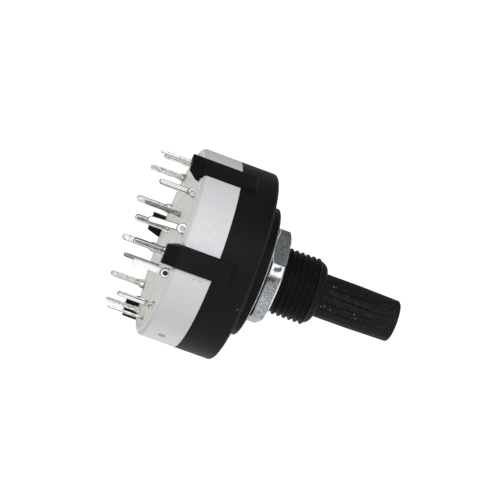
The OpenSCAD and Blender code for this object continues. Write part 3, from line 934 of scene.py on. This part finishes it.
class SWITCH_OT_terminals(bpy.types.Operator):
    """Make the outer and inner solder terminals"""

    bl_idname = "switch.terminals"
    bl_label = "Terminals"

    def execute(self, context):
        sizes, colours = context.scene.switch_sizes, context.scene.switch_colours
        plate = (tuple(colours.silver), tuple(colours.eyelet_olive), tuple(colours.edge_shade))
        white = material("silver", silver_plate, *plate)
        leaning = material("silver_leaning", silver_plate, *plate,
                           lean=(sizes.lean_root / MM, sizes.lean_tip / MM))
        eyelet_shaded = material("silver_fluxed", silver_plate, *plate, strip_depth=SHADED_EYELET_OUTLINE, film=1.0)
        dull = material("dull_silver", dull_plate, tuple(colours.dull_silver), tuple(colours.silver),
                        tuple(colours.edge_shade))
        for node in THROW_TERMINALS + COMMON_TERMINALS:
            name = node.replace("terminal", "lug")
            mesh = clean_copy(node, name)
            finish = dull if node in COMMON_TERMINALS else white
            if node == LEANING_TERMINAL:
                push_aside(mesh, sizes.lean_root, sizes.lean_tip)
                finish = leaning
            # This eyelet gets a dark film of painted shade
            if node == SHADED_EYELET_TERMINAL:
                fill_eyelet(mesh, sizes.film_radius, sizes.film_depth)
                finish = eyelet_shaded
            piece = new_piece(name, mesh)
            soften(piece, sizes.terminal_edge, segments=3)
            dress(piece, finish, "switch_body", "silver_plate", node)
        return {"FINISHED"}


class SWITCH_OT_inside(bpy.types.Operator):
    """Finish the wipers, balls and spring inside"""

    bl_idname = "switch.inside"
    bl_label = "Pieces inside"

    def execute(self, context):
        sizes, colours = context.scene.switch_sizes, context.scene.switch_colours
        brass = material("contact_brass", bright_metal, tuple(colours.brass), roughness=0.2)
        for node in WIPERS:
            name = node.replace("wiper", "contact_bridge")
            piece = new_piece(name, clean_copy(node, name))
            soften(piece, sizes.wiper_edge)
            dress(piece, brass, "rotor", "contact_brass", node)
        for node in BALLS:
            coat(node, material("ball_steel", bright_metal, tuple(colours.steel), roughness=0.08))
        wire = material("spring_wire", bright_metal, tuple(colours.steel), roughness=0.25)
        coat("detent_spring", wire)
        return {"FINISHED"}


def seen_ray(tree):
    """1 for rays from the camera, from gloss and through glass."""
    rays = [tree.node("ShaderNodeLightPath", {}, {}, output=name)
            for name in ("Is Camera Ray", "Is Glossy Ray", "Is Transmission Ray")]
    return tree.node("ShaderNodeClamp", {}, {0: rays[0] + rays[1] + rays[2]})


def white_floor(drop):
    """A wide pale floor that shows white to the camera and in gloss, and keeps the shadow."""
    half, steps = 3.0, 12
    shape = bmesh.new()
    bmesh.ops.create_grid(shape, x_segments=steps, y_segments=steps, size=half)
    mesh = bpy.data.meshes.new("floor")
    shape.to_mesh(mesh)
    shape.free()
    floor = new_piece("floor", mesh)
    floor.location.z = -drop
    paint = bpy.data.materials.new("floor_white")
    tree = blank_tree(paint)
    camera = tree.node("ShaderNodeLightPath", {}, {}, output="Is Camera Ray")
    lifted = seen_ray(tree)
    grain = noise(tree, place_in_mm(tree), 0.02, 2.0)
    tone = ramp(tree, grain, (0.3, 0.86), (0.7, 0.9))
    glow = lifted * ramp(tree, camera, (0.0, 0.4), (1.0, 0.7))
    finish_material(paint, tree, {
        "Base Color": tone,
        "Roughness": 1.0,
        "Specular IOR Level": 0.0,
        "Emission Color": glow,
        "Emission Strength": 1.0,
    })
    mesh.materials.append(paint)


def studio_world():
    """White to the camera; otherwise a studio with bright walls, a dim ceiling and a dimmer back wall."""
    world = bpy.data.worlds.new("studio")
    bpy.context.scene.world = world
    tree = blank_tree(world)
    direction = tree.node("ShaderNodeTexCoord", output="Generated")
    height = coordinate(tree, direction, "Z")
    behind = tree.maths("MAXIMUM", coordinate(tree, direction, "Y"), 0.0)
    level = ramp(tree, height + 0.5 * behind, *SKY)
    camera = tree.node("ShaderNodeLightPath", {}, {}, output="Is Camera Ray")
    seen = mix_colour(tree, camera, level, (1, 1, 1))
    light = tree.node("ShaderNodeBackground", {}, {"Color": seen, "Strength": 1.0})
    tree.node("ShaderNodeOutputWorld", {}, {"Surface": light})


def soft_box(name, place, size, watts):
    """A square soft lamp that faces the switch."""
    lamp = bpy.data.lights.new(name, "AREA")
    lamp.shape = "SQUARE"
    lamp.size = size
    lamp.energy = watts
    made = bpy.data.objects.new(name, lamp)
    bpy.context.scene.collection.objects.link(made)
    made.location = place
    made.rotation_mode = "QUATERNION"
    made.rotation_quaternion = (-Vector(place)).to_track_quat("-Z", "Y")


def photo_camera(stage):
    """The camera at the photograph's angle, for a square picture."""
    psi, lean, roll = stage.near_side, stage.lean, stage.roll
    along = Vector((1, 0, 0))
    near = Vector((0, math.sin(psi), -math.cos(psi)))
    above = Vector((0, -math.cos(psi), -math.sin(psi)))
    back = math.cos(lean) * near - math.sin(lean) * along
    level = math.cos(lean) * along + math.sin(lean) * near
    right = math.cos(roll) * level + math.sin(roll) * above
    up = math.cos(roll) * above - math.sin(roll) * level
    target = stage.target_along * along + stage.target_across * above
    data = bpy.data.cameras.new("photo_camera")
    half_frame = FRAME_PIXELS / 2 / stage.pixels_per_mm * MM
    data.sensor_width = 36
    data.lens = data.sensor_width / 2 * stage.distance / half_frame
    data.clip_start, data.clip_end = 0.01, 20
    camera = bpy.data.objects.new("photo_camera", data)
    bpy.context.scene.collection.objects.link(camera)
    turned = Matrix((right, up, back)).transposed().to_4x4()
    turned.translation = target + stage.distance * back
    camera.matrix_world = turned
    bpy.context.scene.camera = camera


class SWITCH_OT_stage(bpy.types.Operator):
    """Make the camera, the pale floor and the soft light"""

    bl_idname = "switch.stage"
    bl_label = "Stage"

    def execute(self, context):
        stage = context.scene.switch_stage
        photo_camera(stage)
        white_floor(stage.floor_drop)
        studio_world()
        for lamp in LAMPS:
            soft_box(*lamp)
        context.scene.view_settings.view_transform = "Standard"
        return {"FINISHED"}


STEPS = (SWITCH_OT_housing, SWITCH_OT_base, SWITCH_OT_shaft, SWITCH_OT_nut, SWITCH_OT_terminals,
         SWITCH_OT_inside, SWITCH_OT_stage)


class SWITCH_PT_panel(bpy.types.Panel):
    """Sidebar panel that lists the steps and their values"""

    bl_idname = "SWITCH_PT_panel"
    bl_label = "Rotary wafer switch"
    bl_space_type = "VIEW_3D"
    bl_region_type = "UI"
    bl_category = "Switch"

    def draw(self, context):
        for step in STEPS:
            self.layout.operator(step.bl_idname)
        scene = context.scene
        for group in (scene.switch_sizes, scene.switch_colours, scene.switch_stage):
            box = self.layout.box()
            for key in group.bl_rna.properties.keys():
                if key not in ("rna_type", "name"):
                    box.prop(group, key)


CLASSES = (SwitchSizes, SwitchColours, SwitchStage, *STEPS, SWITCH_PT_panel)


def register():
    for cls in CLASSES:
        bpy.utils.register_class(cls)
    bpy.types.Scene.switch_sizes = PointerProperty(type=SwitchSizes)
    bpy.types.Scene.switch_colours = PointerProperty(type=SwitchColours)
    bpy.types.Scene.switch_stage = PointerProperty(type=SwitchStage)


def unregister():
    del bpy.types.Scene.switch_stage
    del bpy.types.Scene.switch_colours
    del bpy.types.Scene.switch_sizes
    for cls in reversed(CLASSES):
        bpy.utils.unregister_class(cls)


def main():
    register()
    bpy.ops.switch.housing()
    bpy.ops.switch.base()
    bpy.ops.switch.shaft()
    bpy.ops.switch.nut()
    bpy.ops.switch.terminals()
    bpy.ops.switch.inside()
    bpy.ops.switch.stage()


if __name__ == "__main__":
    main()
